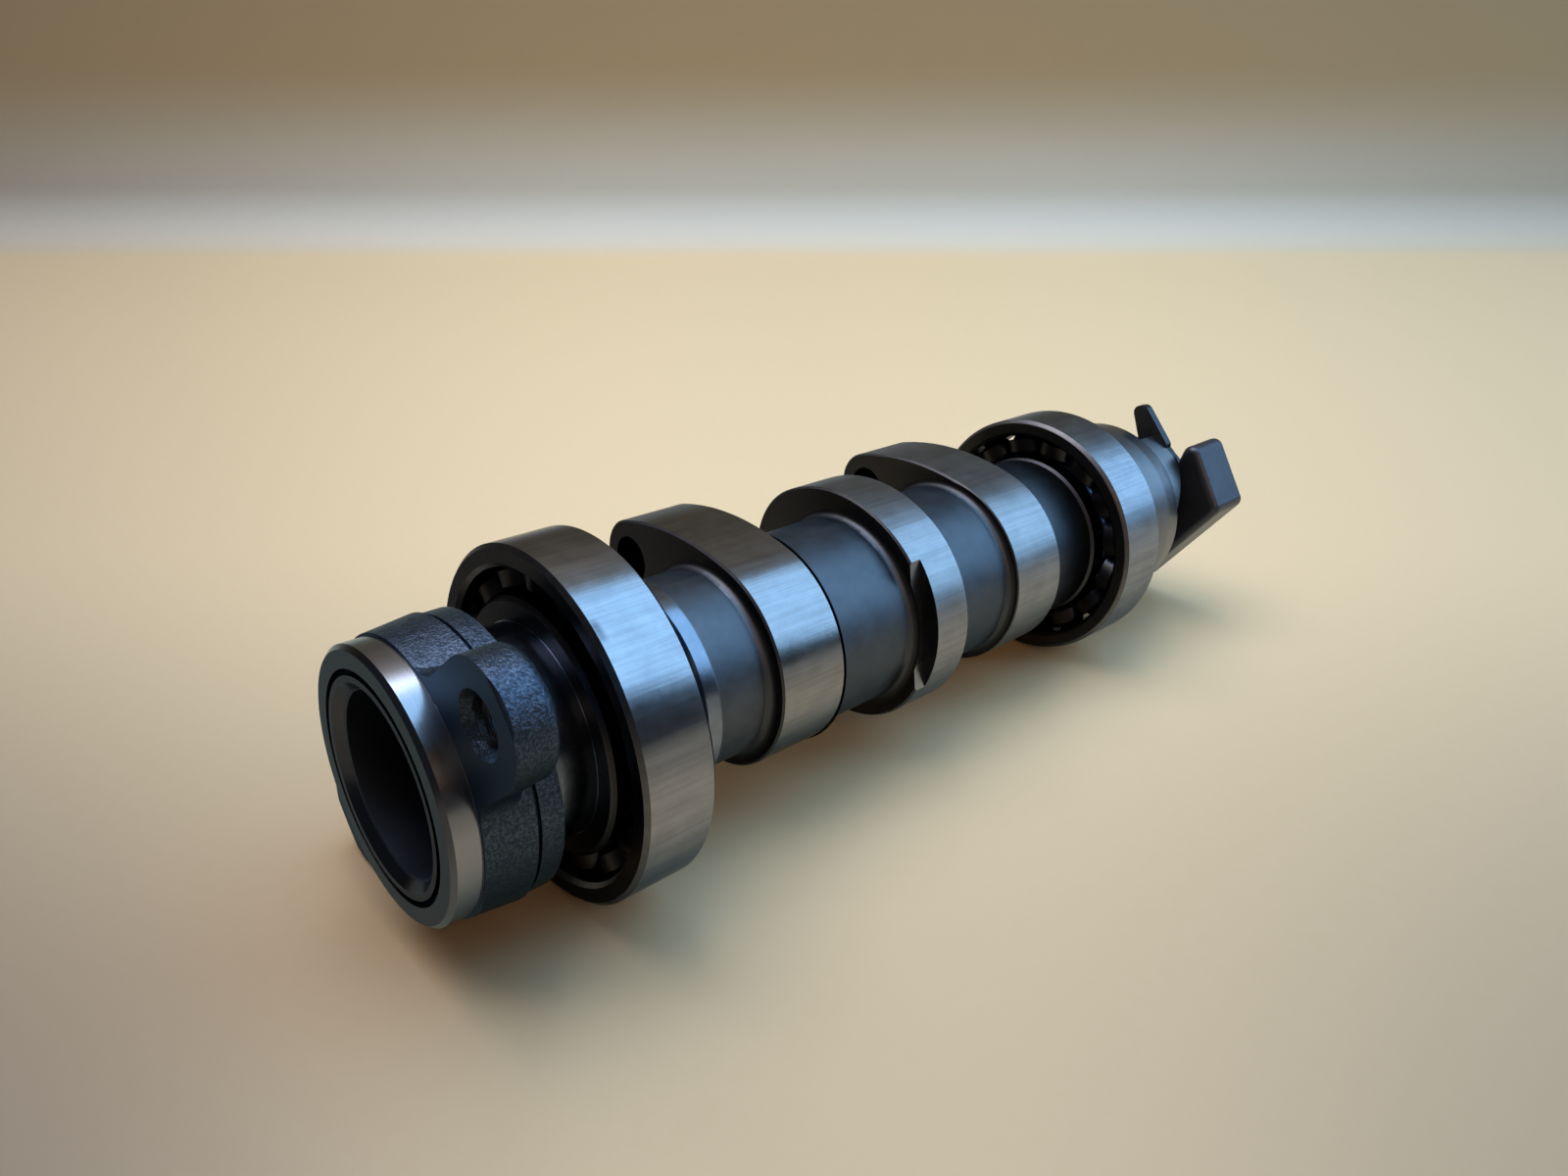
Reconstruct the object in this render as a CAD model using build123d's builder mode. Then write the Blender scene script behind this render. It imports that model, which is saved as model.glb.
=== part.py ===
from build123d import *
from math import cos, radians, sin, sqrt
import os

# Camshaft with its drive hub, two open ball bearings and the drum and lever on its far end.
# X is the shaft axis: x = 0 is the machined flange face where the drive sprocket seats, and
# the shaft runs from there towards +X. Z is up. Angles round the shaft go from +Y towards +Z.
# Lengths are in millimetres.

os.makedirs("parts", exist_ok=True)

# ---- Hub ----
REGISTER_R = 15.2        # turned spigot that centres the drive sprocket
REGISTER_LENGTH = 3.2
REGISTER_CHAMFER = 0.5
FLANGE_FACE_R = 15.5     # cast flange behind the spigot, which widens from its machined face
FLANGE_R = 16.05         # to its back
FLANGE_WIDTH = 5.4
GROOVE_R = 15.2          # shallow groove between flange and barrel
GROOVE_WIDTH = 0.6
BARREL_R = 15.75         # rough-cast barrel that carries the flange
BARREL_LENGTH = 2.5
CAST_ROUND = 1.0         # rounding of the cast corners
MOUTH_GAP = 0.7          # ring-shaped gap between hub and shaft end
MOUTH_GAP_DEPTH = 2.4
EAR_ANGLE = 140.0        # first bolt ear, the second is opposite
EAR_COUNT = 2
EAR_AT = 22.2            # distance of the ear's bolt hole and round end from the shaft axis
EAR_R = 6.5
EAR_WIDTH = 4.6
EAR_ROOT_ROUND = 4.5
EAR_CONE_R = 28.1        # from here outwards the tips of the ears are turned to a flat cone
EAR_CONE_REACH = 1.2
EAR_CONE_DEPTH = 0.55
BOLT_TAP_R = 2.5         # M6, tapping size
BOLT_MOUTH_R = 3.5

# ---- Shaft ----
TUBE_R = 12.05           # seat of the hub
JOURNAL_R = 12.4         # between hub and front bearing
FRONT_BEARING_X = 14.6
SHOULDER_R = 14.2        # the front bearing stops against this
SHOULDER_LENGTH = 3.4
UNDERCUT_LENGTH = 1.9
COLLAR_R = 12.9
COLLAR_LENGTH = 2.0
NECK_R = [12.0, 12.9, 12.6, 12.2]
NECK_FILLET = 1.2
COLLAR_FILLET = 0.5
NECK_ROOTS = [           # fillet at the start and end of each neck
    (COLLAR_FILLET, NECK_FILLET),
    (NECK_FILLET, NECK_FILLET),
    (NECK_FILLET, NECK_FILLET),
    (NECK_FILLET, 0),
]
REAR_BEARING_X = 103.0
BORE_R = 10.2
BORE_DEPTH = 35.7        # it ends before the first lobe
BORE_MOUTH_R = 11.3
BORE_TIP_ANGLE = 118.0
STUB_R = 7.5             # seat of the lever

# ---- Lobes: start, width, base circle, nose arc, nose distance, flank arc ----
NOSE_ANGLE = 27.0
SIDE_LOBE_X = [39.1, 83.0]
SIDE_LOBE_WIDTH = 10.0
SIDE_BASE_R = 13.9
SIDE_NOSE_R = 5.2
SIDE_NOSE_AT = 18.05
SIDE_FLANK_R = 39.0
NOSE_HOLE_R = 3.05
MIDDLE_LOBE_X = 62.4
MIDDLE_LOBE_WIDTH = 7.9
MIDDLE_BASE_R = 15.55
MIDDLE_NOSE_R = 12.0
MIDDLE_NOSE_AT = 6.8
MIDDLE_FLANK_R = 20.0
LOBE_BEVEL = 0.25
NOTCH_ANGLE = 172.0      # relief across the front edge of the middle lobe
NOTCH_FLOOR = 12.8
NOTCH_WIDTH = 1.85

# ---- Bearings: the ball and the gap between the rings go with the section, bore to outside ----
BEARING_WIDTH = 9.0
BALL_SHARE = 0.28        # ball radius over section
RING_CHAMFER = 0.5
FRONT_BORE_R = 12.5
FRONT_OUTER_R = 21.0
FRONT_GAP_SHARE = 0.376  # gap over section
FRONT_BALLS = 17
REAR_BORE_R = 10.0
REAR_OUTER_R = 18.5
REAR_GAP_SHARE = 0.412
REAR_BALLS = 15
RACE_CLEARANCE = 0.03
POCKET_CLEARANCE = 0.12
CAGE_HALF_HEIGHT = 0.95
CAGE_SHEET = 0.45

# ---- Drum and lever on the far end ----
DRUM_R = 14.4
DRUM_LENGTH = 11.6
DRUM_GAP = 0.7           # keeps the drum off the bearing's outer ring
DRUM_SHOULDER_R = 11.9
DRUM_CHAMFER = 0.3
DRUM_TAPER_LENGTH = 2.8
DRUM_TAPER = 0.2
BOSS_R = 11.6            # spaces the lever off the drum
BOSS_LENGTH = 5.0
TONGUE_SIDE = 5.4        # the tongue starts this far beside the axis
TONGUE_TOP = 11.0        # heights where its sloping edge leaves the lever and meets the drum
TONGUE_FOOT = 3.5
FINGER_THICKNESS = 1.3
FINGER = [(-7.4, 9.5), (-8.35, 12.0), (-3.3, 17.7), (-0.9, 17.1), (-2.85, 12.1), (-2.4, 9.5)]
FINGER_ROUND = 1.2       # of its tip; the corners are given as (y, z)
LEVER_THICKNESS = 8.8
LEVER_HUB_R = 9.5
LEVER = [(-11.2, 14.4), (-18.2, 3.15), (-4.8, -14.6), (0.0, -13.3), (0.0, -2.0), (-6.0, -2.0)]
LEVER_CORNER_R = 1.5     # of its corners, which are given as (y, z)
LEVER_ROOT_ROUND = 2.0   # where its inner side meets the hub
LEVER_EDGE_ROUND = 1.1

# ---- Modelling ----
CUT_MARGIN = 1.0         # how far a cutting shape runs past the metal
SAME = 0.01              # closer than this is the same place

# ---- Places worked out along the shaft ----
mouth_x = -REGISTER_LENGTH
barrel_x = FLANGE_WIDTH + GROOVE_WIDTH
hub_end_x = barrel_x + BARREL_LENGTH
shoulder_x = FRONT_BEARING_X + BEARING_WIDTH
undercut_x = shoulder_x + SHOULDER_LENGTH
collar_x = undercut_x + UNDERCUT_LENGTH
neck_x = collar_x + COLLAR_LENGTH
rear_seat_end_x = REAR_BEARING_X + BEARING_WIDTH
drum_x = rear_seat_end_x + DRUM_GAP
drum_end_x = drum_x + DRUM_LENGTH
lever_x = drum_end_x + BOSS_LENGTH
lever_end_x = lever_x + LEVER_THICKNESS


def across(x, angle=0.0):
    """Plane square to the shaft at x. Its local X points outwards at the given angle."""
    way_out = (0, cos(radians(angle)), sin(radians(angle)))
    return Plane(origin=(x, 0, 0), x_dir=way_out, z_dir=(1, 0, 0))


def outwards(x, angle, radius):
    """Plane that looks straight out from the shaft at x, at this angle and radius."""
    way_out = Vector(0, cos(radians(angle)), sin(radians(angle)))
    return Plane(origin=Vector(x, 0, 0) + way_out * radius, x_dir=(1, 0, 0), z_dir=way_out)


def turn(*corners, mode=Mode.ADD):
    """Turn a closed outline of (x, radius) corners about the shaft axis."""
    with BuildSketch(Plane.XZ) as outline:
        with BuildLine():
            Polyline(*corners, close=True)
        make_face()
    revolve(outline.sketch, axis=Axis.X, mode=mode)


def cam_outline(base_r, nose_r, nose_at, flank_r):
    """Cam of arcs that run into each other: base circle, two flanks and a nose along local X."""
    nose = Vector(nose_at, 0)
    to_base = flank_r - base_r
    to_nose = flank_r - nose_r
    centre_x = (nose_at**2 + to_base**2 - to_nose**2) / (2 * nose_at)
    centre = Vector(centre_x, -sqrt(to_base**2 - centre_x**2))
    start = centre * (-base_r / to_base)
    end = nose + (nose - centre) * (nose_r / to_nose)
    middle = centre + (start + end - centre * 2).normalized() * flank_r
    with BuildLine() as outline:
        ThreePointArc(start, middle, end)
        ThreePointArc(end, (nose_at + nose_r, 0), (end.X, -end.Y))
        ThreePointArc((end.X, -end.Y), (middle.X, -middle.Y), (start.X, -start.Y))
        ThreePointArc((start.X, -start.Y), (-base_r, 0), start)
    make_face(outline.edges())


def lobe(x, width, base_r, nose_r, nose_at, flank_r):
    """One cam lobe, added to the part being built."""
    with BuildSketch(across(x, NOSE_ANGLE)) as outline:
        cam_outline(base_r, nose_r, nose_at, flank_r)
    extrude(outline.sketch, amount=width)


def neck(start, end, radius, start_root, end_root):
    """Add the concave fillets where a round neck meets the faces at its two ends."""
    for face_x, root, inwards in ((start, start_root, 1), (end, end_root, -1)):
        if root:
            bend = root * (1 - sqrt(0.5))
            with BuildSketch(Plane.XZ) as outline:
                with BuildLine():
                    ThreePointArc((face_x, radius + root), (face_x + inwards * bend, radius + bend),
                                  (face_x + inwards * root, radius))
                    Polyline((face_x + inwards * root, radius), (face_x, radius),
                             (face_x, radius + root))
                make_face()
            revolve(outline.sketch, axis=Axis.X)


def lies_at(edge, x):
    """True for an edge that lies in the plane square to the shaft at x."""
    return abs(edge.center().X - x) < SAME and edge.bounding_box().size.X < SAME


def is_round(edge, radius):
    """True for a circle or arc of this radius."""
    return edge.geom_type == GeomType.CIRCLE and abs(edge.radius - radius) < SAME


def corners_at(sketch, radius):
    """Corners of a sketch that lie on a circle of this radius about the shaft axis."""
    return [v for v in sketch.vertices() if abs(Vector(v).length - radius) < SAME]


def save(piece, name):
    """Label a finished piece and write it to its own STEP file."""
    piece.part.label = name
    export_step(piece.part, f"parts/{name}.step")


# ---- Camshaft core: hollow shaft, three lobes and the bearing seats in one forging ----
tip_depth = BORE_R / sin(radians(BORE_TIP_ANGLE / 2)) * cos(radians(BORE_TIP_ANGLE / 2))
mouth_depth = BORE_MOUTH_R - BORE_R
lobes = [
    (SIDE_LOBE_X[0], SIDE_LOBE_WIDTH),
    (MIDDLE_LOBE_X, MIDDLE_LOBE_WIDTH),
    (SIDE_LOBE_X[1], SIDE_LOBE_WIDTH),
]
neck_starts = [neck_x] + [x + width for x, width in lobes]
neck_ends = [x for x, width in lobes] + [REAR_BEARING_X]

with BuildPart() as core:
    turn((mouth_x, 0), (mouth_x, TUBE_R), (hub_end_x, TUBE_R), (hub_end_x, JOURNAL_R),
         (FRONT_BEARING_X, JOURNAL_R), (FRONT_BEARING_X, FRONT_BORE_R),
         (shoulder_x, FRONT_BORE_R), (shoulder_x, SHOULDER_R), (undercut_x, SHOULDER_R),
         (undercut_x, NECK_R[0]), (collar_x, NECK_R[0]), (collar_x, COLLAR_R),
         (neck_x, COLLAR_R), (neck_x, 0))
    for start, end, radius in zip(neck_starts, neck_ends, NECK_R):
        turn((start, 0), (start, radius), (end, radius), (end, 0))
    turn((REAR_BEARING_X, 0), (REAR_BEARING_X, REAR_BORE_R), (lever_x, REAR_BORE_R),
         (lever_x, STUB_R), (lever_end_x, STUB_R), (lever_end_x, 0))
    lobe(MIDDLE_LOBE_X, MIDDLE_LOBE_WIDTH, MIDDLE_BASE_R, MIDDLE_NOSE_R, MIDDLE_NOSE_AT,
         MIDDLE_FLANK_R)
    for x in SIDE_LOBE_X:
        lobe(x, SIDE_LOBE_WIDTH, SIDE_BASE_R, SIDE_NOSE_R, SIDE_NOSE_AT, SIDE_FLANK_R)
    lobe_ends = [x for x, width in lobes] + [x + width for x, width in lobes]
    lobe_edges = [e for e in core.edges() if any(lies_at(e, x) for x in lobe_ends)
                  and not any(is_round(e, radius) for radius in NECK_R)]
    chamfer(lobe_edges, LOBE_BEVEL)
    for start, end, radius, roots in zip(neck_starts, neck_ends, NECK_R, NECK_ROOTS):
        neck(start, end, radius, *roots)
    # lightening hole through the nose of each side lobe
    for x in SIDE_LOBE_X:
        with BuildSketch(across(x - CUT_MARGIN, NOSE_ANGLE)):
            with Locations((SIDE_NOSE_AT, 0)):
                Circle(NOSE_HOLE_R)
        extrude(amount=SIDE_LOBE_WIDTH + 2 * CUT_MARGIN, mode=Mode.SUBTRACT)
    # flat relief across the front edge of the middle lobe
    with BuildSketch(across(MIDDLE_LOBE_X, NOTCH_ANGLE)):
        with Locations((NOTCH_FLOOR, 0)):
            Rectangle(MIDDLE_BASE_R, 2 * MIDDLE_BASE_R, align=(Align.MIN, Align.CENTER))
    extrude(amount=NOTCH_WIDTH, mode=Mode.SUBTRACT)
    # drilled bore with a chamfered mouth and a drill-point bottom
    turn((mouth_x, 0), (mouth_x, BORE_MOUTH_R), (mouth_x + mouth_depth, BORE_R),
         (mouth_x + BORE_DEPTH, BORE_R), (mouth_x + BORE_DEPTH + tip_depth, 0),
         mode=Mode.SUBTRACT)
save(core, "camshaft_core")

# ---- Drive hub: turned spigot, cast flange with two bolt ears, cast barrel ----
with BuildPart() as ears:
    with BuildSketch(across(0, EAR_ANGLE)) as plate:
        Circle(FLANGE_FACE_R)
        with PolarLocations(EAR_AT, EAR_COUNT):
            Circle(EAR_R)
            Rectangle(EAR_AT, 2 * EAR_R, align=(Align.MAX, Align.CENTER))
        fillet(corners_at(plate, FLANGE_FACE_R), EAR_ROOT_ROUND)
    extrude(amount=EAR_WIDTH)
    fillet([e for e in ears.edges() if lies_at(e, EAR_WIDTH)], CAST_ROUND)

with BuildPart() as hub:
    turn((mouth_x, 0), (mouth_x, REGISTER_R - REGISTER_CHAMFER),
         (mouth_x + REGISTER_CHAMFER, REGISTER_R), (0, REGISTER_R), (0, 0))
    with BuildSketch(Plane.XZ) as casting:
        with BuildLine():
            Polyline((0, 0), (0, FLANGE_FACE_R), (FLANGE_WIDTH, FLANGE_R),
                     (FLANGE_WIDTH, GROOVE_R), (barrel_x, GROOVE_R), (barrel_x, BARREL_R),
                     (hub_end_x, BARREL_R), (hub_end_x, 0), close=True)
        make_face()
        rims = [v for v in casting.vertices() if v.Z > FLANGE_FACE_R + SAME]
        fillet(rims, CAST_ROUND)
    revolve(axis=Axis.X)
    add(ears.part)
    turn((0, EAR_CONE_R), (0, EAR_CONE_R + EAR_CONE_REACH),
         (EAR_CONE_DEPTH, EAR_CONE_R + EAR_CONE_REACH), mode=Mode.SUBTRACT)
    # seat of the shaft end, with the ring-shaped gap round its mouth
    gap_end_x = mouth_x + MOUTH_GAP_DEPTH
    turn((mouth_x, 0), (mouth_x, TUBE_R + MOUTH_GAP), (gap_end_x, TUBE_R + MOUTH_GAP),
         (gap_end_x, TUBE_R), (hub_end_x, TUBE_R), (hub_end_x, 0), mode=Mode.SUBTRACT)
    with BuildSketch(across(0, EAR_ANGLE)):
        with PolarLocations(EAR_AT, EAR_COUNT):
            Circle(BOLT_TAP_R)
    extrude(amount=EAR_WIDTH, mode=Mode.SUBTRACT)
    bolt_mouths = [e for e in hub.edges() if lies_at(e, 0) and is_round(e, BOLT_TAP_R)]
    chamfer(bolt_mouths, BOLT_MOUTH_R - BOLT_TAP_R)
save(hub, "drive_hub")


def bearing(name, x, bore_r, outer_r, gap_share, ball_count):
    """Open ball bearing starting at x: outer ring, inner ring, ribbon cage and balls."""
    middle_x = x + BEARING_WIDTH / 2
    end_x = x + BEARING_WIDTH
    section = outer_r - bore_r
    pitch_r = bore_r + section / 2
    inner_land_r = pitch_r - section * gap_share / 2
    outer_land_r = pitch_r + section * gap_share / 2
    ball_r = section * BALL_SHARE
    race_r = ball_r + RACE_CLEARANCE
    pocket_r = ball_r + POCKET_CLEARANCE

    with BuildPart() as outer_ring:
        turn((x, outer_land_r + RING_CHAMFER), (x, outer_r - RING_CHAMFER),
             (x + RING_CHAMFER, outer_r), (end_x - RING_CHAMFER, outer_r),
             (end_x, outer_r - RING_CHAMFER), (end_x, outer_land_r + RING_CHAMFER),
             (end_x - RING_CHAMFER, outer_land_r), (x + RING_CHAMFER, outer_land_r))
        with BuildSketch(Plane.XZ):
            with Locations((middle_x, pitch_r)):
                Circle(race_r)
        revolve(axis=Axis.X, mode=Mode.SUBTRACT)
    save(outer_ring, f"{name}_bearing_outer_ring")

    with BuildPart() as inner_ring:
        turn((x, bore_r), (x, inner_land_r - RING_CHAMFER), (x + RING_CHAMFER, inner_land_r),
             (end_x - RING_CHAMFER, inner_land_r), (end_x, inner_land_r - RING_CHAMFER),
             (end_x, bore_r))
        with BuildSketch(Plane.XZ):
            with Locations((middle_x, pitch_r)):
                Circle(race_r)
        revolve(axis=Axis.X, mode=Mode.SUBTRACT)
    save(inner_ring, f"{name}_bearing_inner_ring")

    ball_angles = [360 / ball_count * k for k in range(ball_count)]
    with BuildPart() as cage:
        turn((middle_x - CAGE_SHEET, pitch_r - CAGE_HALF_HEIGHT),
             (middle_x - CAGE_SHEET, pitch_r + CAGE_HALF_HEIGHT),
             (middle_x + CAGE_SHEET, pitch_r + CAGE_HALF_HEIGHT),
             (middle_x + CAGE_SHEET, pitch_r - CAGE_HALF_HEIGHT))
        pockets = [outwards(middle_x, angle, pitch_r - 2 * CAGE_HALF_HEIGHT)
                   for angle in ball_angles]
        with Locations(*pockets):
            Cylinder(pocket_r + CAGE_SHEET, 4 * CAGE_HALF_HEIGHT,
                     align=(Align.CENTER, Align.CENTER, Align.MIN))
        turn((x, pitch_r - CAGE_HALF_HEIGHT), (x, pitch_r + CAGE_HALF_HEIGHT),
             (end_x, pitch_r + CAGE_HALF_HEIGHT), (end_x, pitch_r - CAGE_HALF_HEIGHT),
             mode=Mode.INTERSECT)
        with Locations(*pockets):
            Cylinder(pocket_r, 4 * CAGE_HALF_HEIGHT,
                     align=(Align.CENTER, Align.CENTER, Align.MIN), mode=Mode.SUBTRACT)
    save(cage, f"{name}_bearing_cage")

    for number, angle in enumerate(ball_angles, start=1):
        with BuildPart() as ball:
            with Locations(outwards(middle_x, angle, pitch_r)):
                Sphere(ball_r)
        save(ball, f"{name}_bearing_ball_{number:02d}")


bearing("front", FRONT_BEARING_X, FRONT_BORE_R, FRONT_OUTER_R, FRONT_GAP_SHARE, FRONT_BALLS)
bearing("rear", REAR_BEARING_X, REAR_BORE_R, REAR_OUTER_R, REAR_GAP_SHARE, REAR_BALLS)

# ---- End drum: turned drum pressed on behind the rear bearing, with a finger on its back ----
taper_x = drum_end_x - DRUM_TAPER_LENGTH
finger_x = lever_x - FINGER_THICKNESS
with BuildPart() as drum:
    turn((rear_seat_end_x, REAR_BORE_R), (rear_seat_end_x, DRUM_SHOULDER_R),
         (drum_x, DRUM_SHOULDER_R), (drum_x, DRUM_R - DRUM_CHAMFER),
         (drum_x + DRUM_CHAMFER, DRUM_R), (taper_x, DRUM_R), (drum_end_x, DRUM_R - DRUM_TAPER),
         (drum_end_x, BOSS_R), (lever_x, BOSS_R), (lever_x, REAR_BORE_R))
    # tongue that carries the finger: the drum's own rim, running on to a sloping edge
    with BuildPart(mode=Mode.PRIVATE) as tongue:
        with BuildSketch(Plane.XZ.offset(TONGUE_SIDE)):
            with BuildLine():
                Polyline((drum_end_x, TONGUE_FOOT), (lever_x, TONGUE_TOP), (lever_x, DRUM_R),
                         (drum_end_x, DRUM_R), close=True)
            make_face()
        extrude(amount=DRUM_R)
        turn((drum_end_x, BOSS_R), (drum_end_x, DRUM_R - DRUM_TAPER),
             (lever_x, DRUM_R - DRUM_TAPER), (lever_x, BOSS_R), mode=Mode.INTERSECT)
    add(tongue.part)
    with BuildSketch(across(finger_x)) as finger:
        with BuildLine():
            Polyline(*FINGER, close=True)
        make_face()
        tips = [v for v in finger.vertices() if Vector(v).length > DRUM_R]
        fillet(tips, FINGER_ROUND)
        Circle(REAR_BORE_R, mode=Mode.SUBTRACT)
    extrude(amount=FINGER_THICKNESS)
save(drum, "end_drum")

# ---- End lever: cast weight with a flat outer end, held by a round hub ----
with BuildPart() as lever:
    with BuildSketch(across(lever_x)) as lever_outline:
        with BuildLine():
            Polyline(*LEVER, close=True)
        make_face()
        fillet(lever_outline.vertices(), LEVER_CORNER_R)
        Circle(LEVER_HUB_R)
        hub_roots = [v for v in corners_at(lever_outline, LEVER_HUB_R) if v.X < 0]
        fillet(hub_roots, LEVER_ROOT_ROUND)
    extrude(amount=LEVER_THICKNESS)
    end_outlines = [e for e in lever.edges() if lies_at(e, lever_x) or lies_at(e, lever_end_x)]
    fillet(end_outlines, LEVER_EDGE_ROUND)
    turn((lever_x, 0), (lever_x, STUB_R), (lever_end_x, STUB_R), (lever_end_x, 0),
         mode=Mode.SUBTRACT)
save(lever, "end_lever")
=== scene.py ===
import bpy
from math import cos, pi, radians, sin
from random import Random
from mathutils import Matrix, Vector


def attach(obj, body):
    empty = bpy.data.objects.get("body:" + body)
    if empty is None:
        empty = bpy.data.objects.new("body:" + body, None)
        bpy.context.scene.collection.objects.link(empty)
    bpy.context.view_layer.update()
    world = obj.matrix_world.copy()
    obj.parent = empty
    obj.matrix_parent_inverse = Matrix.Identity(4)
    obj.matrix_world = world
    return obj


# Camshaft on a pale table. The frame's X is the shaft axis, with x = 0 at the hub's flange face,
# and Z is up. Lengths are in millimetres, turned to metres by MM.

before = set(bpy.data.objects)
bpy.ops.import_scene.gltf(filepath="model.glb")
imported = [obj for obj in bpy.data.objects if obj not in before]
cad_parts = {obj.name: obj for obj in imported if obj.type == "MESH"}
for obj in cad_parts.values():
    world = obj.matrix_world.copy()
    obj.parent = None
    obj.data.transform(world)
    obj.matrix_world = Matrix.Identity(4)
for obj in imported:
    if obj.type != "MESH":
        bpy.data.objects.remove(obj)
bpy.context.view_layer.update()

MM = 0.001

# ---- Camera: it stands ahead of the hub, on the side of the bolt ear ----
IMAGE_WIDTH = 1600
FOCAL_PIXELS = 1150
SENSOR_WIDTH = 36.0
CAMERA_AT = Vector((-37.3, -96.4, 67.0))
CAMERA_LOOKS = Vector((0.6145, 0.6672, -0.4210))
CAMERA_UP = Vector((0.2680, 0.3253, 0.9068))

# ---- Table: the camshaft lies on its two bearings, and the front one is the larger ----
FRONT_RING_FOOT = Vector((19.1, 0.0, -21.0))
REAR_RING_FOOT = Vector((107.5, 0.0, -18.5))
TABLE_DEPTH = 575.0       # from under the camera to the wall behind
SWEEP_R = 25.0            # bend between table and wall
SWEEP_STEPS = 12
TABLE_NEAR = 700.0        # how far the table runs on behind the camera
BACKDROP_HALF_WIDTH = 1600.0
WALL_HEIGHT = 900.0
FADE_START = 520.0        # the table's warm colour fades into the wall's grey
FADE_END = 600.0
SHADE_NEAR = 0.32         # painted shade: how much darker the table gets towards the camera and the sides
SHADE_LEFT = 0.36
SHADE_RIGHT = 0.22

# ---- Lamps: a cool window on the far right, a ceiling panel and a weak warm fill ----
WINDOW_AT = Vector((487.0, -248.0, 715.0))
WINDOW_SIZE = (1000.0, 1550.0)
WINDOW_FACES = Vector((-0.66, 0.22, -0.72))
WINDOW_WATTS = 14.0
WINDOW_COLOUR = (0.35, 0.64, 1.0)
BAR_SIZE = (14.0, 1250.0)  # bright edges of the window's frame
BAR_WATTS = 0.5
BAR_OFFSETS = (545.0, 610.0)
CEILING_AT = Vector((-110.0, 260.0, 1000.0))
CEILING_SIZE = (900.0, 800.0)
CEILING_FACES = Vector((0.2, -0.2, -1.0))
CEILING_WATTS = 9.8
CEILING_COLOUR = (0.95, 0.90, 1.0)
FILL_AT = Vector((-100.0, -650.0, 450.0))
FILL_FACES = Vector((0.15, 0.8, -0.55))
FILL_SIZE = (600.0, 300.0)
FILL_WATTS = 0.9
FILL_COLOUR = (1.0, 0.60, 0.36)
ROOM_COLOUR = (0.036, 0.039, 0.046)
ROOM_STRENGTH = 1.0

# ---- Places on the shaft that the materials go by ----
NECK_START = 30.9
LOBES = [(39.1, 49.1), (62.4, 70.3), (83.0, 93.0)]
LAST_SIDE = 98.0           # no lobe's side face lies beyond this
FAR_START = 50.0           # beyond here the ground faces are duller
FAR_END = 60.0
TIP_START = -1.8           # the shaft's open end, ahead of the flange face
TIP_END = -2.2
DRUM_BACK = 128.0
BORE_R = 10.2
RING_INSIDE_R = 17.9       # nearer the axis than this, the bearing rings are painted dark: oil, and painted shade in the gap between the rings
INNER_RING_R = 14.8        # and nearer than this they are bare again, but dull, and still painted darker as shade
SMUDGE_X = (15.0, 15.9)    # grease on the front ring's outside
SMUDGE_ANGLES = (2.16, 2.27)
NOSE_ANGLE = 27.0          # the hole through the nose of the two side lobes
NOSE_HOLE_AT = 18.05
NOSE_HOLE_R = 3.05
EAR_ANGLES = (140.0, 320.0)
EAR_BOLT_AT = 22.2

# ---- Screw thread in the two ear holes ----
THREAD_ROOT_R = 2.52
THREAD_CREST_R = 2.14
THREAD_FROM = 1.1
THREAD_TO = 4.3
THREAD_PITCH = 1.0
THREAD_HALF_WIDTH = 0.36
THREAD_STEPS = 32          # in one turn
THREAD_RUN_OUT = 0.25      # share of its length over which it fades in and out

# ---- Rivets that hold the two halves of each ball cage, between the balls ----
CAGES = {
    "front_cage_and_balls": (19.1, 16.75, 17),
    "rear_cage_and_balls": (107.5, 14.25, 15),
}
CAGE_SHEET = 0.45
RIVET_R = 0.62
RIVET_HEIGHT = 0.34
RIVET_SIDES = 16
RIVET_RINGS = 4

# ---- Burr where the spigot's turning ran out into the cast flange, along its lower edge ----
BURR_ANGLES = (196.0, 232.0)
BURR_STEPS = 40
BURR_R = 15.45
BURR_HEIGHT = 0.30
BURR_WIDTH = 0.35
BURR_SEED = 7

table_slope = (REAR_RING_FOOT - FRONT_RING_FOOT).normalized()
table_up = table_slope.cross(Vector((0, 1, 0)))
if table_up.z < 0:
    table_up = -table_up


def turned_to(direction, up):
    """Rotation that points an object's -Z along the direction, with its Y as near up as it goes."""
    back = -direction.normalized()
    right = up.cross(back).normalized()
    return Matrix((right, back.cross(right), back)).transposed().to_4x4()


def add_object(name, data):
    """New object in the scene."""
    thing = bpy.data.objects.new(name, data)
    bpy.context.scene.collection.objects.link(thing)
    return thing


def add_mesh(name, points, faces, smooth=False):
    """New mesh object from points in millimetres."""
    mesh = bpy.data.meshes.new(name)
    mesh.from_pydata([Vector(p) * MM for p in points], [], faces)
    mesh.polygons.foreach_set("use_smooth", [smooth] * len(mesh.polygons))
    mesh.update()
    return add_object(name, mesh)


def across(x, angle, radius):
    """The point at this place along the shaft, angle round it in degrees, and radius."""
    return Vector((x, radius * cos(radians(angle)), radius * sin(radians(angle))))


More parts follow.
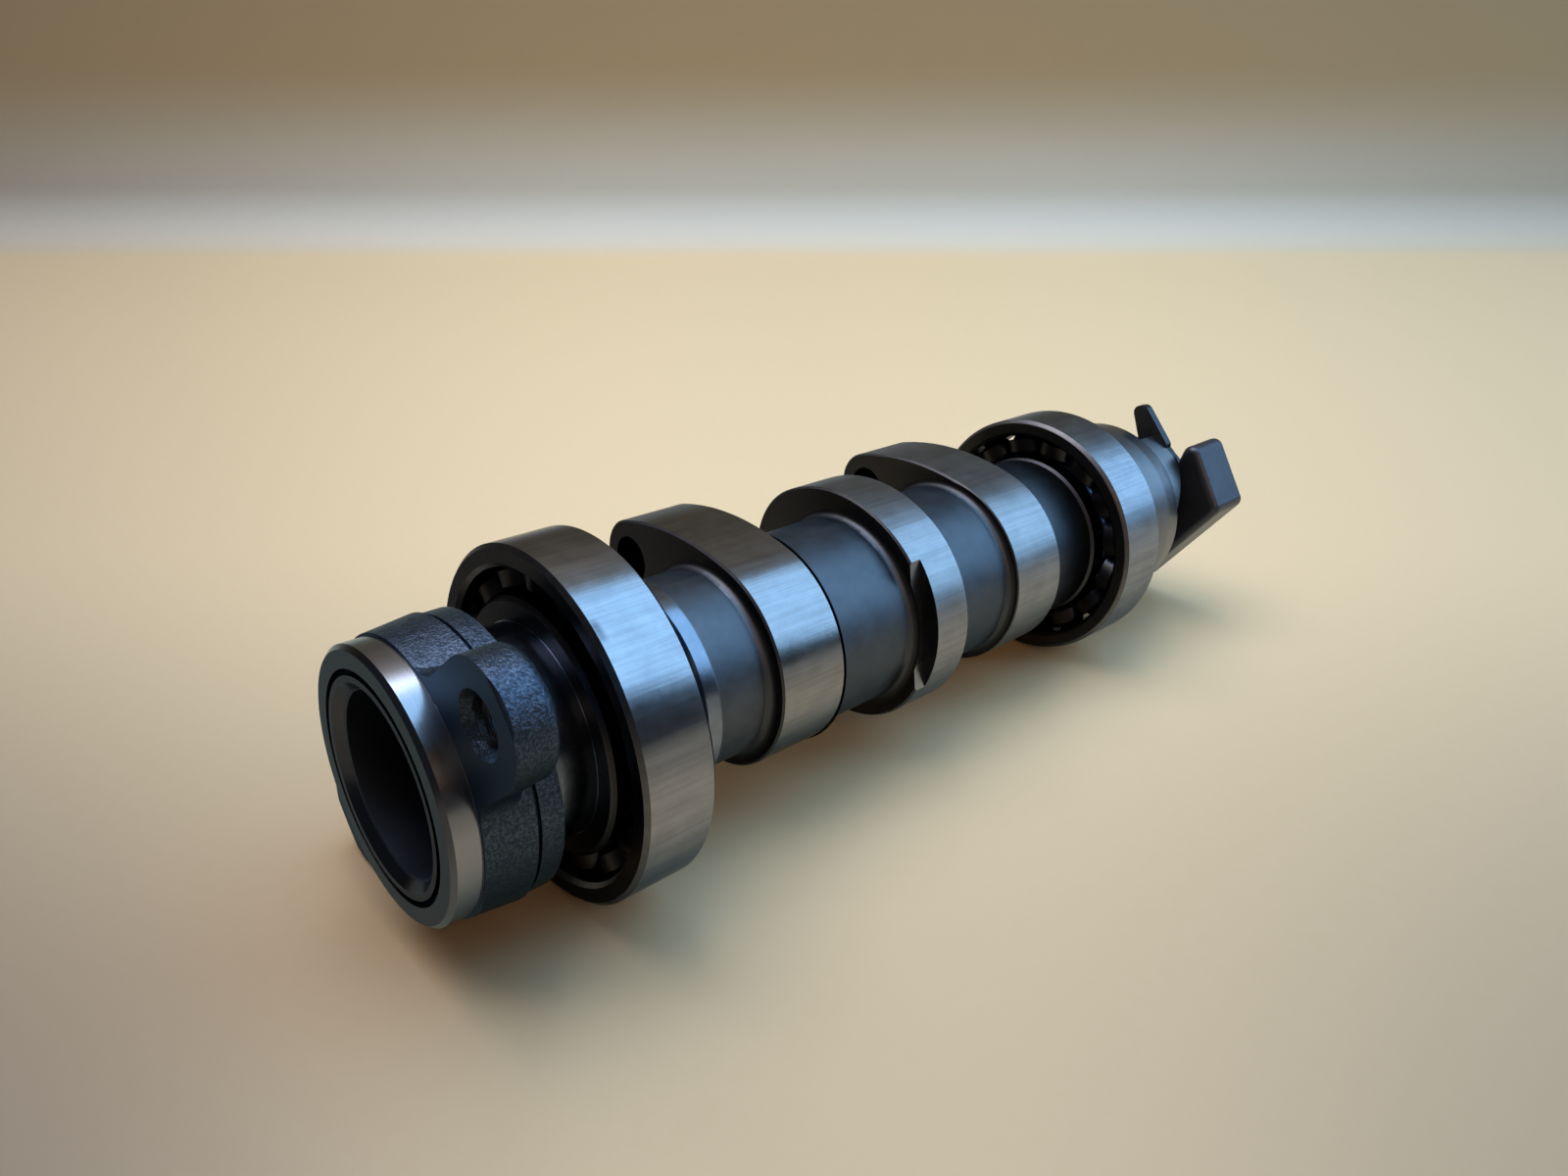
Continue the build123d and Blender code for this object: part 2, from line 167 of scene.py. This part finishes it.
def add_thread(name, ear_angle):
    """Helical ridge on the wall of one ear hole, fading in and out at its ends."""
    middle = across(0, ear_angle, EAR_BOLT_AT)
    steps = int((THREAD_TO - THREAD_FROM) / THREAD_PITCH * THREAD_STEPS)
    points = []
    for k in range(steps + 1):
        share = k / steps
        fade = min(1.0, share / THREAD_RUN_OUT, (1 - share) / THREAD_RUN_OUT)
        crest_r = THREAD_ROOT_R - (THREAD_ROOT_R - THREAD_CREST_R) * fade
        turn = 360 * k / THREAD_STEPS
        x = THREAD_FROM + (THREAD_TO - THREAD_FROM) * share
        points += [middle + across(x - THREAD_HALF_WIDTH, turn, THREAD_ROOT_R),
                   middle + across(x - 0.1 * THREAD_HALF_WIDTH, turn, crest_r),
                   middle + across(x + 0.1 * THREAD_HALF_WIDTH, turn, crest_r),
                   middle + across(x + THREAD_HALF_WIDTH, turn, THREAD_ROOT_R)]
    faces = [(4 * k + j, 4 * k + j + 1, 4 * k + j + 5, 4 * k + j + 4)
             for k in range(steps) for j in range(3)]
    return add_mesh(name, points, faces)


def add_rivets(name, middle_x, pitch_r, count):
    """Domed rivet heads on both faces of a ball cage, halfway between the balls."""
    points, faces = [], []
    for number in range(count):
        angle = 360 / count * (number + 0.5)
        middle = across(middle_x, angle, pitch_r)
        for side in (-1, 1):
            first = len(points)
            for ring in range(RIVET_RINGS):
                rise = pi / 2 * ring / RIVET_RINGS
                x = side * (CAGE_SHEET + RIVET_HEIGHT * sin(rise))
                points += [middle + across(x, 360 / RIVET_SIDES * k, RIVET_R * cos(rise))
                           for k in range(RIVET_SIDES)]
            points.append(middle + across(side * (CAGE_SHEET + RIVET_HEIGHT), 0, 0))
            for k in range(RIVET_SIDES):
                after = (k + 1) % RIVET_SIDES
                for ring in range(RIVET_RINGS - 1):
                    low = first + ring * RIVET_SIDES
                    high = low + RIVET_SIDES
                    faces.append((low + k, low + after, high + after, high + k)[::side])
                top = first + (RIVET_RINGS - 1) * RIVET_SIDES
                faces.append((top + k, top + after, len(points) - 1)[::side])
    return add_mesh(name, points, faces, smooth=True)


def add_burr(name):
    """Thin ragged lip of metal round part of the flange's front edge."""
    ragged = Random(BURR_SEED)
    points = []
    for k in range(BURR_STEPS + 1):
        angle = BURR_ANGLES[0] + (BURR_ANGLES[1] - BURR_ANGLES[0]) * k / BURR_STEPS
        height = BURR_HEIGHT * sin(pi * k / BURR_STEPS) * ragged.uniform(0.35, 1.0)
        lean = BURR_WIDTH * ragged.uniform(0.2, 0.6)
        points += [across(0.0, angle, BURR_R - 0.1), across(lean, angle, BURR_R + height),
                   across(BURR_WIDTH, angle, BURR_R)]
    faces = [(3 * k + j, 3 * k + j + 1, 3 * k + j + 4, 3 * k + j + 3)
             for k in range(BURR_STEPS) for j in range(2)]
    return add_mesh(name, points, faces)


def add_camera():
    """The scene's camera, from its place, its heading and its focal length."""
    camera = add_object("camera", bpy.data.cameras.new("camera"))
    camera.data.sensor_width = SENSOR_WIDTH
    camera.data.lens = FOCAL_PIXELS / IMAGE_WIDTH * SENSOR_WIDTH
    camera.data.clip_start = 0.005
    camera.matrix_world = Matrix.Translation(CAMERA_AT * MM) @ turned_to(CAMERA_LOOKS, CAMERA_UP)
    bpy.context.scene.camera = camera


def add_panel(name, at, faces, size, watts, colour):
    """Rectangular lamp."""
    light = bpy.data.lights.new(name, "AREA")
    light.shape = "RECTANGLE"
    light.size = size[0] * MM
    light.size_y = size[1] * MM
    light.energy = watts
    light.color = colour
    lamp = add_object(name, light)
    lamp.matrix_world = Matrix.Translation(at * MM) @ turned_to(faces, Vector((0, 0, 1)))


def set_world():
    """Dim room round the scene."""
    world = bpy.data.worlds.new("room")
    world.use_nodes = True
    background = world.node_tree.nodes["Background"]
    background.inputs["Color"].default_value = (*ROOM_COLOUR, 1)
    background.inputs["Strength"].default_value = ROOM_STRENGTH
    bpy.context.scene.world = world


class Look:
    """A material whose colour, roughness and bump come from nodes, in millimetres on the object."""

    def __init__(self, name, metallic, **constants):
        self.material = bpy.data.materials.new(name)
        self.material.use_nodes = True
        self.nodes = self.material.node_tree.nodes
        self.links = self.material.node_tree.links
        self.shader = self.nodes["Principled BSDF"]
        self.shader.inputs["Metallic"].default_value = metallic
        for socket, value in constants.items():
            self.shader.inputs[socket.replace("_", " ")].default_value = value
        coordinates = self.nodes.new("ShaderNodeTexCoord")
        self.place = self.add("ShaderNodeVectorMath",
                              {0: coordinates.outputs["Object"], "Scale": 1 / MM},
                              operation="SCALE")
        self.x, self.y, self.z = self.split(self.place)
        self.radius = self.length(self.y, self.z)
        self.angle = self.math("ARCTAN2", self.z, self.y)
        self.normal_x, self.normal_y, self.normal_z = self.split(coordinates.outputs["Normal"])
        self.end_face = self.rise(self.math("ABSOLUTE", self.normal_x), 0.55, 0.8)

    def add(self, kind, inputs, output=0, **settings):
        """New node; its inputs are given by name or number, as numbers or as other sockets."""
        node = self.nodes.new(kind)
        for name, value in settings.items():
            setattr(node, name, value)
        for key, value in inputs.items():
            self.plug(node.inputs[key], value)
        return node.outputs[output]

    def plug(self, socket, value):
        """Link a socket, or set it to a plain number or colour."""
        if isinstance(value, bpy.types.NodeSocket):
            self.links.new(value, socket)
        elif socket.type == "RGBA":
            socket.default_value = (*value, 1)
        else:
            socket.default_value = value

    def split(self, vector):
        """The three parts of a vector."""
        node = self.nodes.new("ShaderNodeSeparateXYZ")
        self.links.new(vector, node.inputs[0])
        return node.outputs

    def math(self, operation, *values):
        """One Math node."""
        return self.add("ShaderNodeMath", dict(enumerate(values)), operation=operation)

    def length(self, first, second):
        """Length of the hypotenuse over two numbers."""
        return self.math("SQRT", self.math("ADD", self.math("MULTIPLY", first, first),
                                           self.math("MULTIPLY", second, second)))

    def from_axis(self, angle, at, both_sides=False):
        """Distance from a line along the shaft at this angle and radius, or from its twin too."""
        c, s = cos(radians(angle)), sin(radians(angle))
        out = self.math("ADD", self.math("MULTIPLY", self.y, c), self.math("MULTIPLY", self.z, s))
        off = self.math("SUBTRACT", self.math("MULTIPLY", self.z, c),
                        self.math("MULTIPLY", self.y, s))
        if both_sides:
            out = self.math("ABSOLUTE", out)
        return self.length(self.math("SUBTRACT", out, at), off)

    def rise(self, value, start, end, low=0.0, high=1.0):
        """Smooth step from low to high as the value goes from start to end."""
        return self.add("ShaderNodeMapRange", {0: value, 1: start, 2: end, 3: low, 4: high},
                        interpolation_type="SMOOTHSTEP")

    def band(self, value, start, end, soft):
        """One between start and end, fading to zero over the soft width on both sides."""
        return self.math("MULTIPLY", self.rise(value, start - soft, start + soft),
                         self.rise(value, end + soft, end - soft))

    def blend(self, share, first, second):
        """First colour where the share is 0, second where it is 1."""
        return self.add("ShaderNodeMix", {0: share, 6: first, 7: second}, output=2,
                        data_type="RGBA")

    def pick(self, share, first, second):
        """First number where the share is 0, second where it is 1."""
        return self.add("ShaderNodeMix", {0: share, 2: first, 3: second}, data_type="FLOAT")

    def any_of(self, *masks):
        """The largest of several masks."""
        whole = masks[0]
        for mask in masks[1:]:
            whole = self.math("MAXIMUM", whole, mask)
        return whole

    def without(self, mask, other):
        """A mask with another one taken out of it."""
        return self.math("MULTIPLY", mask, self.math("SUBTRACT", 1.0, other))

    def noise(self, scale, detail=3.0, rough=0.5, at=None):
        """Noise from 0 to 1; the scale is its grain per millimetre."""
        return self.add("ShaderNodeTexNoise", {"Vector": at or self.place, "Scale": scale,
                                               "Detail": detail, "Roughness": rough})

    def streaks(self, across, along):
        """Noise drawn out round the shaft: grain per millimetre across and per radian along it."""
        round_the_shaft = self.add("ShaderNodeCombineXYZ", {
            0: self.math("MULTIPLY", self.x, across),
            1: self.math("MULTIPLY", self.angle, along),
            2: self.math("MULTIPLY", self.radius, across)})
        return self.noise(1.0, 4.0, 0.6, round_the_shaft)

    def lengthways(self, across, along):
        """Noise drawn out along the shaft: grain per radian across and per millimetre along it."""
        along_the_shaft = self.add("ShaderNodeCombineXYZ", {
            0: self.math("MULTIPLY", self.x, along),
            1: self.math("MULTIPLY", self.angle, across)})
        return self.noise(1.0, 3.0, 0.5, along_the_shaft)

    def polish(self, fine, wide, patches):
        """Mask of bright rubbed lines along the shaft, broken up by the patches."""
        smears = self.math("ADD", fine, self.math("ADD", wide, patches))
        return self.rise(smears, 1.1, 1.9)

    def brushed_round(self):
        """Stretch the reflections as grinding round the shaft does."""
        object_tangent = self.add("ShaderNodeCombineXYZ", {
            1: self.math("MULTIPLY", self.z, -1.0), 2: self.y})
        self.plug(self.shader.inputs["Tangent"], self.add(
            "ShaderNodeVectorTransform", {0: object_tangent}, vector_type="VECTOR",
            convert_from="OBJECT", convert_to="WORLD"))

    def finish(self, colour, roughness, *bumps):
        """Feed the shader; each bump is a height from 0 to 1 and its depth in millimetres."""
        self.plug(self.shader.inputs["Base Color"], colour)
        self.plug(self.shader.inputs["Roughness"], roughness)
        normal = None
        for height, depth in bumps:
            inputs = {"Height": height, "Strength": 1.0, "Distance": depth * MM}
            if normal:
                inputs["Normal"] = normal
            normal = self.add("ShaderNodeBump", inputs)
        if normal:
            self.plug(self.shader.inputs["Normal"], normal)
        return self.material


def ground_steel():
    """Camshaft core: ground lobes, satin necks, dark lobe sides, an oily bore and painted shade
    inside the lobe nose holes.
    """
    look = Look("ground_steel", 1.0, Anisotropic=0.5, Specular_Tint=(0.42, 0.47, 0.54, 1))
    look.brushed_round()
    lines = look.streaks(9.0, 1.2)
    fine_lines = look.streaks(26.0, 3.0)
    patches = look.noise(0.35, 4.0, 0.6)
    smears = look.lengthways(70.0, 0.07)
    wide_smears = look.lengthways(18.0, 0.05)
    lobe_width = look.any_of(*[look.band(look.x, start - 0.05, end + 0.05, 0.05)
                               for start, end in LOBES])
    lobe_run = look.without(lobe_width, look.end_face)
    sides = look.band(look.x, NECK_START + 3, LAST_SIDE, 1.0)
    lobe_side = look.math("MULTIPLY", look.end_face, sides)
    root_width = look.any_of(*[look.band(look.x, start - 1.0, start - 0.25, 0.2)
                               for start, _ in LOBES])
    roots = look.without(root_width, look.end_face)
    ahead = look.rise(look.x, NECK_START, NECK_START - 0.3)
    bore = look.rise(look.radius, BORE_R + 0.25, BORE_R + 0.1)
    from_hole = look.from_axis(NOSE_ANGLE, NOSE_HOLE_AT)
    low_lobe = look.band(look.x, LOBES[1][0] - 2.0, LOBES[1][1] + 2.0, 0.2)
    # Painted shade: the inside of the hole through the nose of the two side lobes is painted
    # near-black.
    nose_hole_shade = look.without(look.rise(from_hole, NOSE_HOLE_R + 0.1, NOSE_HOLE_R + 0.02), low_lobe)
    tip = look.rise(look.x, TIP_START, TIP_END)
    far_run = look.math("MULTIPLY", lobe_run, look.rise(look.x, FAR_START, FAR_END))

    neck_colour = look.blend(patches, (0.062, 0.070, 0.080), (0.125, 0.136, 0.150))
    polish = look.polish(smears, wide_smears, patches)
    lobe_colour = look.blend(polish, (0.24, 0.245, 0.25), (0.32, 0.325, 0.335))
    side_colour = look.blend(patches, (0.030, 0.030, 0.032), (0.055, 0.054, 0.055))
    seat_colour = look.blend(patches, (0.13, 0.16, 0.20), (0.30, 0.34, 0.40))
    bore_colour = look.blend(patches, (0.05, 0.065, 0.09), (0.11, 0.135, 0.17))
    colour = look.blend(roots, neck_colour, (0.075, 0.082, 0.092))
    colour = look.blend(ahead, colour, seat_colour)
    colour = look.blend(tip, colour, (0.09, 0.10, 0.115))
    colour = look.blend(lobe_run, colour, lobe_colour)
    colour = look.blend(lobe_side, colour, side_colour)
    colour = look.blend(bore, colour, bore_colour)
    colour = look.blend(nose_hole_shade, colour, (0.015, 0.015, 0.018))

    roughness = look.pick(look.any_of(lobe_run, ahead), look.pick(patches, 0.34, 0.46),
                          look.pick(patches, 0.13, 0.22))
    roughness = look.pick(far_run, roughness, look.pick(patches, 0.25, 0.34))
    roughness = look.pick(look.any_of(lobe_side, roots), roughness, look.pick(patches, 0.36, 0.5))
    roughness = look.pick(bore, roughness, 0.42)
    return look.finish(colour, roughness, (lines, 0.006), (fine_lines, 0.003), (patches, 0.01))


def cast_hub():
    """Hub: rough cast all over, apart from its turned spigot and machined face, with painted shade
    on its underside and in its ear holes.
    """
    look = Look("cast_hub", 1.0, Specular_Tint=(0.65, 0.85, 1.0, 1))
    grains = look.noise(3.2, 3.0, 0.6)
    lumps = look.noise(0.9, 2.0, 0.5)
    lines = look.streaks(12.0, 1.0)
    face = look.math("MULTIPLY", look.rise(look.normal_x, -0.8, -0.95),
                     look.rise(look.x, 0.3, 0.1))
    ahead = look.rise(look.x, 0.03, -0.03)
    machined = look.any_of(face, ahead)
    cast = look.math("SUBTRACT", 1.0, machined)

    sand = look.blend(look.rise(grains, 0.35, 0.75), (0.030, 0.042, 0.060), (0.09, 0.12, 0.165))
    bright = look.blend(lines, (0.24, 0.25, 0.27), (0.32, 0.33, 0.35))
    flat = look.blend(look.rise(look.x, -0.2, -1.0), (0.030, 0.045, 0.085), (0.080, 0.090, 0.110))
    # Painted shade: the wall and thread of the ear holes are painted a plain dark grey.
    from_bolt = look.from_axis(EAR_ANGLES[0], EAR_BOLT_AT, both_sides=True)
    ear_hole_shade = look.rise(from_bolt, THREAD_ROOT_R + 0.12, THREAD_ROOT_R + 0.02)
    # Painted shade: surfaces of the hub that face downwards are painted near-black.
    under = look.rise(look.normal_z, 0.1, -0.7)
    spigot = look.without(ahead, look.end_face)
    sand = look.blend(under, sand, (0.013, 0.014, 0.016))
    sand = look.blend(ear_hole_shade, sand, (0.040, 0.042, 0.046))
    colour = look.blend(machined, sand, flat)
    colour = look.blend(spigot, colour, bright)
    roughness = look.pick(machined, look.pick(grains, 0.5, 0.3), look.pick(lines, 0.17, 0.27))
    roughness = look.pick(face, roughness, 0.5)
    rough_height = look.math("MULTIPLY", cast, look.math("ADD", grains, lumps))
    turned_height = look.math("MULTIPLY", machined, lines)
    return look.finish(colour, roughness, (rough_height, 0.10), (turned_height, 0.004))


def ring_steel():
    """Bearing rings: ground outsides, darker faces, and races painted dark for oil and for the
    shade between the rings.
    """
    look = Look("ring_steel", 1.0, Anisotropic=0.6, Specular_Tint=(0.42, 0.46, 0.52, 1))
    look.brushed_round()
    lines = look.streaks(10.0, 1.5)
    fine_lines = look.streaks(30.0, 2.0)
    patches = look.noise(0.3, 4.0, 0.6)
    smears = look.lengthways(60.0, 0.08)
    wide_smears = look.lengthways(14.0, 0.05)
    smudge = look.math("MULTIPLY", look.band(look.x, *SMUDGE_X, 0.4),
                       look.band(look.angle, *SMUDGE_ANGLES, 0.03))
    polish = look.polish(smears, wide_smears, patches)
    run_colour = look.blend(polish, (0.25, 0.26, 0.28), (0.34, 0.355, 0.375))
    smudge = look.math("MULTIPLY", smudge, patches)
    run_colour = look.blend(smudge, run_colour, (0.03, 0.035, 0.045))
    # Painted shade and oil: the races and the inner ring between the two rings are painted dark.
    inside = look.rise(look.radius, RING_INSIDE_R + 0.3, RING_INSIDE_R)
    inner_ring = look.rise(look.radius, INNER_RING_R + 0.1, INNER_RING_R)
    face_colour = look.blend(patches, (0.035, 0.034, 0.034), (0.060, 0.058, 0.058))
    race_oil_and_shade_colour = look.blend(inner_ring, (0.03, 0.03, 0.032), (0.065, 0.08, 0.105))
    colour = look.blend(look.end_face, look.blend(inside, run_colour, race_oil_and_shade_colour), face_colour)
    roughness = look.pick(look.end_face, look.pick(patches, 0.12, 0.2),
                          look.pick(patches, 0.24, 0.34))
    roughness = look.math("ADD", roughness, look.rise(look.x, FAR_START, FAR_END, 0.0, 0.10))
    return look.finish(colour, roughness, (lines, 0.005), (fine_lines, 0.002), (patches, 0.006))


def cage_steel():
    """Ball cages: pressed sheet, painted near-black: dark with oil, and painted shade in the gap
    between the rings.
    """
    look = Look("cage_steel", 1.0, Specular_Tint=(0.2, 0.2, 0.2, 1))
    patches = look.noise(0.8, 3.0, 0.5)
    outside = look.rise(look.math("ABSOLUTE", look.normal_x), 0.5, 0.3)
    # Painted shade and oil: the cage is painted near-black.
    colour = look.blend(patches, (0.005, 0.005, 0.005), (0.014, 0.014, 0.014))
    colour = look.blend(outside, colour, (0.009, 0.009, 0.009))
    return look.finish(colour, look.pick(patches, 0.25, 0.45), (patches, 0.02))


def ball_steel():
    """Balls: polished, with a film of oil, and painted near-black as shade in the gap between the
    rings.
    """
    look = Look("ball_steel", 1.0, Specular_Tint=(0.2, 0.2, 0.22, 1))
    film = look.noise(0.9, 2.0, 0.5)
    # Painted shade and oil: the balls are painted near-black.
    colour = look.blend(film, (0.004, 0.004, 0.005), (0.012, 0.012, 0.014))
    return look.finish(colour, look.pick(film, 0.2, 0.32), (film, 0.004))


def drum_steel():
    """End drum: satin turned steel, with painted shade on its rear step."""
    look = Look("drum_steel", 1.0, Anisotropic=0.5)
    look.brushed_round()
    lines = look.streaks(7.0, 1.0)
    patches = look.noise(0.3, 3.0, 0.5)
    colour = look.blend(patches, (0.13, 0.135, 0.145), (0.19, 0.195, 0.205))
    # Painted shade: the drum's rear step beyond DRUM_BACK, in the gap before the lever, is painted
    # dark.
    colour = look.blend(look.rise(look.x, DRUM_BACK, DRUM_BACK + 0.1), colour, (0.04, 0.045, 0.055))
    return look.finish(colour, look.pick(lines, 0.26, 0.38), (lines, 0.01))


def dark_casting():
    """End lever: smooth cast steel with a dark, uneven skin."""
    look = Look("dark_casting", 0.85)
    skin = look.noise(0.9, 3.0, 0.6)
    patches = look.noise(0.2, 3.0, 0.5)
    colour = look.blend(patches, (0.045, 0.05, 0.06), (0.085, 0.09, 0.105))
    return look.finish(colour, look.pick(skin, 0.34, 0.46), (skin, 0.03))


def backdrop_material():
    """Warm table with painted shade towards the camera and the sides, that turns into a wall: grey
    at its foot with painted shade towards both sides, browner and darker upward.
    """
    look = Look("backdrop", 0.0)
    fibres = look.noise(0.5, 2.0, 0.5)
    warm = look.blend(fibres, (0.79, 0.595, 0.325), (0.81, 0.615, 0.345))
    depth = look.math("MAXIMUM", look.math("ADD", look.y, 20.0), 60.0)
    sideways = look.math("DIVIDE", look.x, depth)
    left = look.rise(sideways, -0.1, -0.9)
    right = look.rise(sideways, 0.15, 0.9)
    near = look.rise(look.y, 210.0, 60.0)
    side_shade = look.math("ADD", look.math("MULTIPLY", left, SHADE_LEFT),
                           look.math("MULTIPLY", right, SHADE_RIGHT))
    shade = look.math("ADD", look.math("MULTIPLY", near, SHADE_NEAR), side_shade)
    # Painted shade: the table is painted darker towards the camera and towards both sides.
    warm = look.blend(shade, warm, (0.0, 0.0, 0.02))
    # Painted shade: the wall's foot is painted darker and warmer towards both sides.
    foot_colour = look.blend(look.any_of(left, right), (0.56, 0.60, 0.56), (0.34, 0.33, 0.28))
    wall = look.blend(look.rise(look.z, 18.0, 82.0), foot_colour, (0.27, 0.195, 0.095))
    wall = look.blend(look.rise(look.z, 70.0, 240.0), wall, (0.11, 0.08, 0.05))
    colour = look.blend(look.rise(look.y, FADE_START, FADE_END), warm, wall)
    return look.finish(colour, 0.7, (fibres, 0.01))


def add_backdrop():
    """Table and wall in one bent sheet, square to the camera's heading."""
    heading = (CAMERA_LOOKS - table_up * CAMERA_LOOKS.dot(table_up)).normalized()
    foot = CAMERA_AT - table_up * (CAMERA_AT - FRONT_RING_FOOT).dot(table_up)
    profile = [(-TABLE_NEAR, 0.0)]
    for k in range(SWEEP_STEPS + 1):
        turn = pi / 2 * k / SWEEP_STEPS
        profile.append((TABLE_DEPTH - SWEEP_R + SWEEP_R * sin(turn), SWEEP_R - SWEEP_R * cos(turn)))
    profile.append((TABLE_DEPTH, WALL_HEIGHT))
    points = [(side, y, z) for y, z in profile
              for side in (-BACKDROP_HALF_WIDTH, BACKDROP_HALF_WIDTH)]
    faces = [(2 * k, 2 * k + 1, 2 * k + 3, 2 * k + 2) for k in range(len(profile) - 1)]
    backdrop = add_mesh("backdrop", points, faces, smooth=True)
    right = heading.cross(table_up)
    turned = Matrix((right, heading, table_up)).transposed().to_4x4()
    backdrop.matrix_world = Matrix.Translation(foot * MM) @ turned
    backdrop.data.materials.append(backdrop_material())


add_camera()
add_panel("window", WINDOW_AT, WINDOW_FACES, WINDOW_SIZE, WINDOW_WATTS, WINDOW_COLOUR)
window_side = WINDOW_FACES.cross(Vector((0, 0, 1))).normalized()
for number, offset in enumerate(BAR_OFFSETS, start=1):
    add_panel(f"window_bar_{number}", WINDOW_AT + window_side * offset, WINDOW_FACES, BAR_SIZE,
              BAR_WATTS, WINDOW_COLOUR)
add_panel("fill", FILL_AT, FILL_FACES, FILL_SIZE, FILL_WATTS, FILL_COLOUR)
add_panel("ceiling", CEILING_AT, CEILING_FACES, CEILING_SIZE, CEILING_WATTS, CEILING_COLOUR)
set_world()
add_backdrop()

bpy.context.scene.view_settings.view_transform = "Standard"

looks = {
    "camshaft_core": ground_steel(),
    "drive_hub": cast_hub(),
    "ring": ring_steel(),
    "cage": cage_steel(),
    "ball": ball_steel(),
    "end_drum": drum_steel(),
    "end_lever": dark_casting(),
}
for name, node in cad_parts.items():
    kind = next(key for key in looks if key in name)
    for place in node.material_slots:
        place.material = looks[kind]

for number, ear_angle in enumerate(EAR_ANGLES, start=1):
    thread = add_thread(f"ear_{number}_thread", ear_angle)
    thread.data.materials.append(looks["drive_hub"])
    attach(thread, "camshaft")
for body, (middle_x, pitch_r, count) in CAGES.items():
    rivets = add_rivets(body.replace("cage_and_balls", "cage_rivets"), middle_x, pitch_r, count)
    rivets.data.materials.append(looks["cage"])
    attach(rivets, body)
burr = add_burr("flange_burr")
burr.data.materials.append(looks["drive_hub"])
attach(burr, "camshaft")
